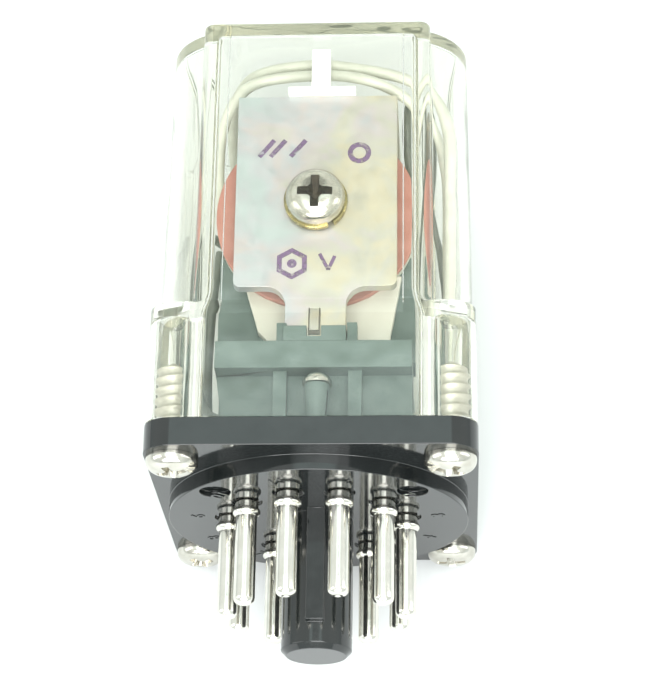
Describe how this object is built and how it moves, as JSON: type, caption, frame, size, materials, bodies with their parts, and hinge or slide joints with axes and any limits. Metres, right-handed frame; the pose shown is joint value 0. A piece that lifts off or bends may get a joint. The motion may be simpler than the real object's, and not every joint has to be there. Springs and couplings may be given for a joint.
{
  "type": "industrial control relay",
  "caption": "Plug-in control relay with a round pin base, keyed centre post, clear stepped cover and a hinged clapper armature working changeover contacts.",
  "frame": {"origin": "on the plug axis, at the seating face of the round disc that carries the pins", "axes": "+Y along the plug axis to the top of the cover, the pins point to -Y; +Z is the side with the core screw and the key, facing up as the relay lies on its back; +X is across"},
  "size_m": [0.036, 0.0698, 0.0394],
  "materials": {
    "black_phenolic": "glossy moulded phenolic",
    "nickel": "bright nickel plate",
    "solder": "soft solder",
    "clear_cover": "clear moulded plastic",
    "black_nylon": "matte moulding",
    "chromate_iron": "iridescent passivated zinc on sheet iron",
    "soft_iron": "plated soft iron",
    "washer_brass": "yellow passivated lock washer",
    "red_fibre": "red vulcanised fibre",
    "ivory_plastic": "ivory moulding",
    "copper_wire": "enamelled copper winding",
    "cream_tape": "cream coil tape",
    "spring_steel": "spring wire",
    "white_plastic": "white moulding",
    "brass_strip": "brass strip",
    "silver": "silver contact",
    "tinned_wire": "tinned copper wire",
    "lead_insulation": "black insulated lead",
    "pale_insulation": "pale insulated lead",
    "rivet_steel": "plated rivet",
    "spring_bronze": "phosphor bronze leaf"
  },
  "bodies": {
    "housing": {"base": "black_phenolic", "plug_pins": "nickel", "cup_solder": "solder", "cover": "clear_cover", "cover_screws": "nickel", "contact_block": "black_nylon", "frame_screw": "nickel", "yoke": "chromate_iron", "core": "soft_iron", "core_screw": "nickel", "lock_washer": "washer_brass", "fibre_washer": "red_fibre", "bobbin": "ivory_plastic", "winding": "copper_wire", "coil_tape": "cream_tape", "hinge_pin": "soft_iron", "return_spring": "spring_steel", "lead_guide": "white_plastic", "no_terminals": "brass_strip", "nc_terminals": "brass_strip", "fixed_contacts": "silver", "contact_links": "tinned_wire", "common_lead_left": "pale_insulation", "common_lead_middle": "lead_insulation", "common_lead_right": "lead_insulation", "coil_lead_start": "pale_insulation", "coil_lead_finish": "lead_insulation"},
    "armature_assembly": {"armature": "soft_iron", "contact_carrier": "white_plastic", "carrier_rivets": "rivet_steel", "moving_springs": "spring_bronze", "moving_contacts": "silver"}
  },
  "joints": [
    {"name": "armature_hinge", "type": "hinge", "parent": "housing", "child": "armature_assembly", "pos_m": [0, 0.045, -0.01086], "axis": [-1, 0, 0], "range_deg": [0, 3], "stiffness_Nm_per_rad": 0.02, "springref_deg": -20.05, "deforming": ["return_spring"]}
  ]
}
